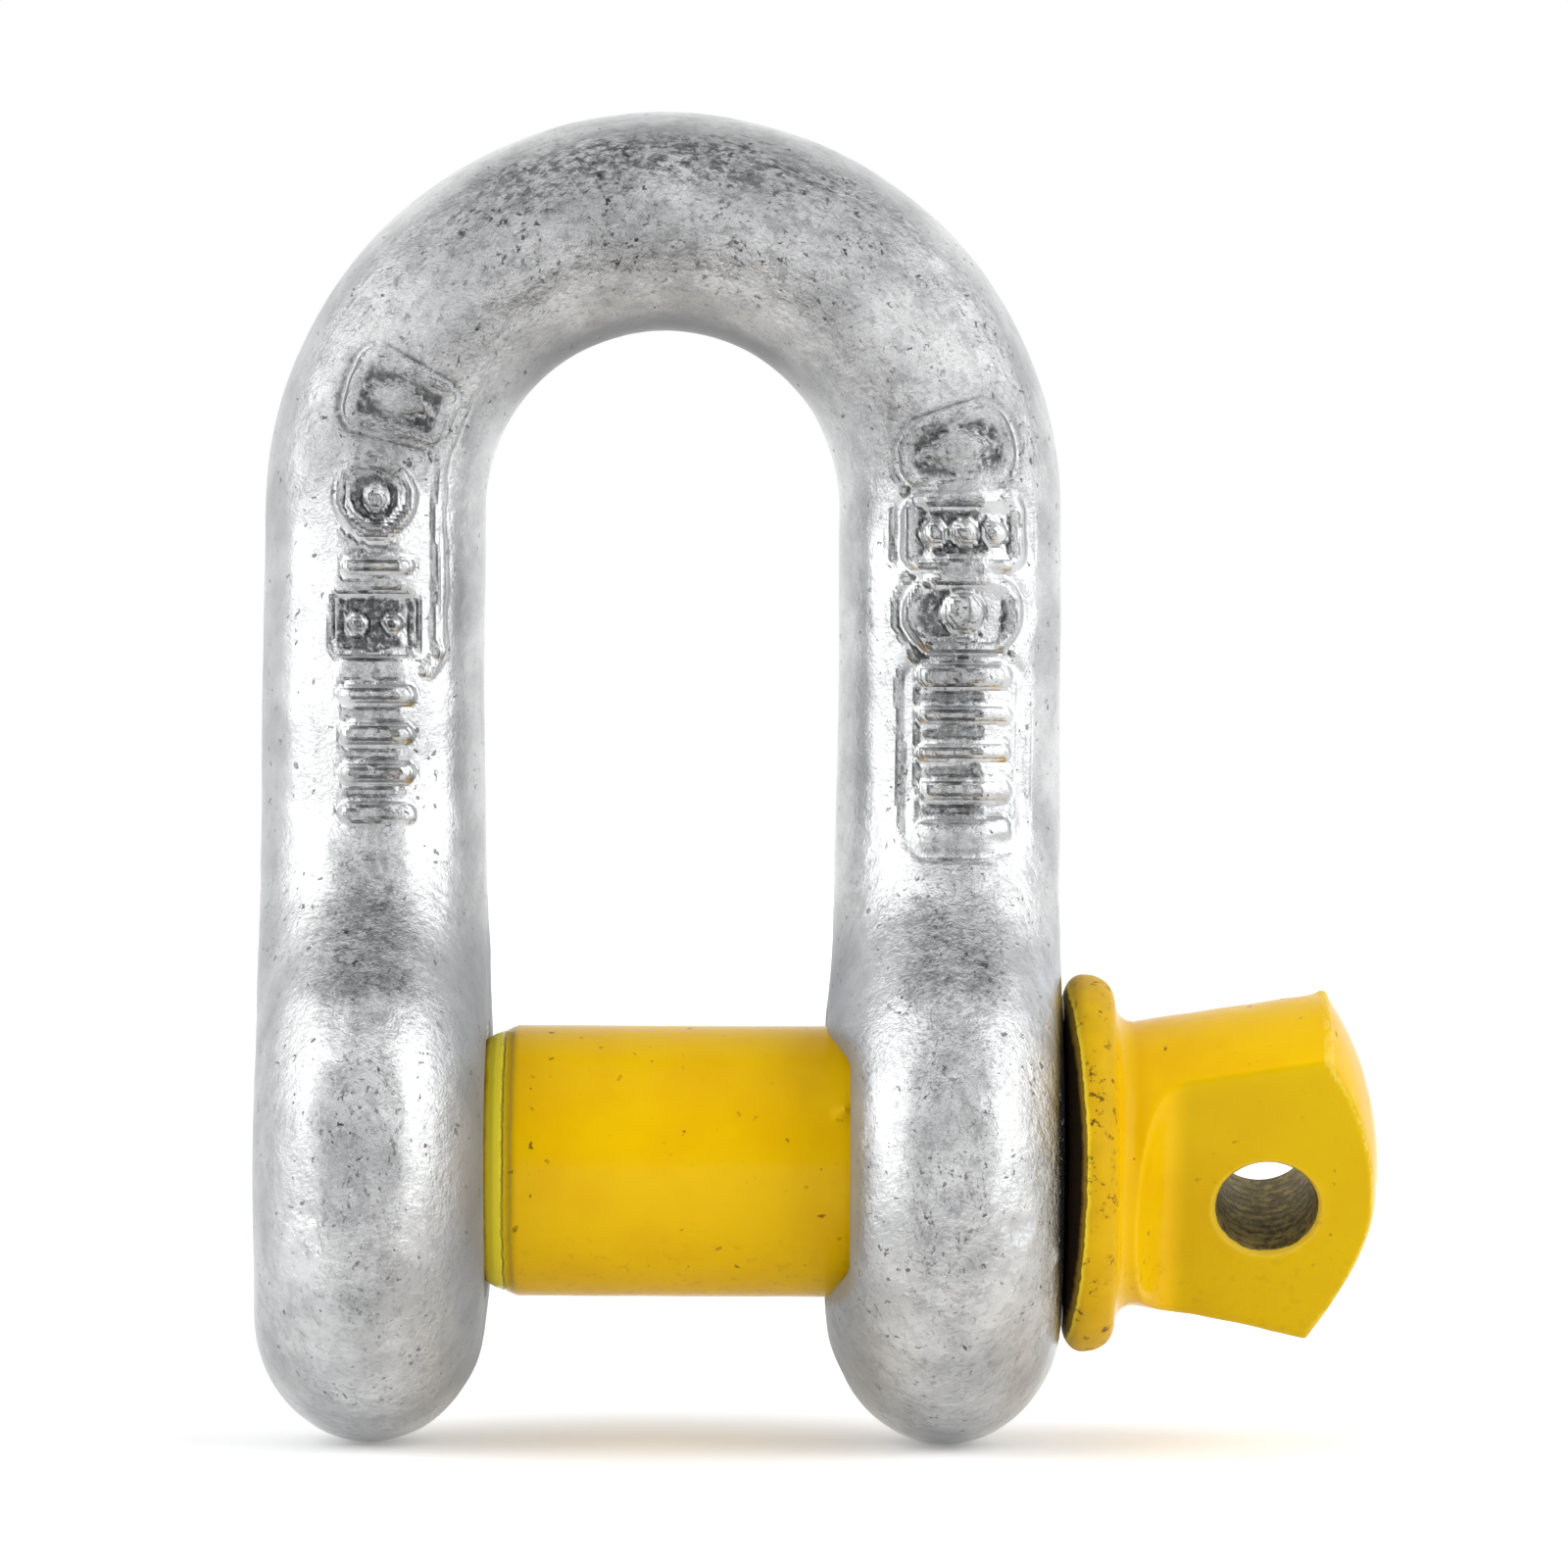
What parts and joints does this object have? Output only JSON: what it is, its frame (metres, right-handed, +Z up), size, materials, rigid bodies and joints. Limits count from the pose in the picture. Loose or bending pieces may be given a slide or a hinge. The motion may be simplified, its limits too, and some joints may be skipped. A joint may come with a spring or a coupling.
{
  "type": "dee shackle",
  "caption": "Galvanised forged dee shackle with a painted screw pin: a U-shaped bar whose round eyes are joined by a removable pin with a collar and a flattened, drilled head.",
  "frame": {"origin": "on the axis of the tight pin, midway between the two legs", "axes": "+X along the pin towards its head, +Z up to the crown of the bow, -Y towards the viewer in front"},
  "size_m": [0.0661, 0.0334, 0.0787],
  "materials": {
    "galvanised_steel": "hot-dip galvanised, satin light grey with bright worn bands, dark pits and mottling",
    "yellow_paint": "glossy yellow enamel with small dirt specks and chipped edges; bare steel in the drilled hole and on the thread"
  },
  "bodies": {
    "bow": {"shackle_body": "galvanised_steel"},
    "pin": {"screw_pin": "yellow_paint"}
  },
  "joints": [
    {"name": "pin_withdraw", "type": "slide", "parent": "bow", "child": "pin", "axis": [1, 0, 0], "range_m": [0, 0.05]}
  ]
}
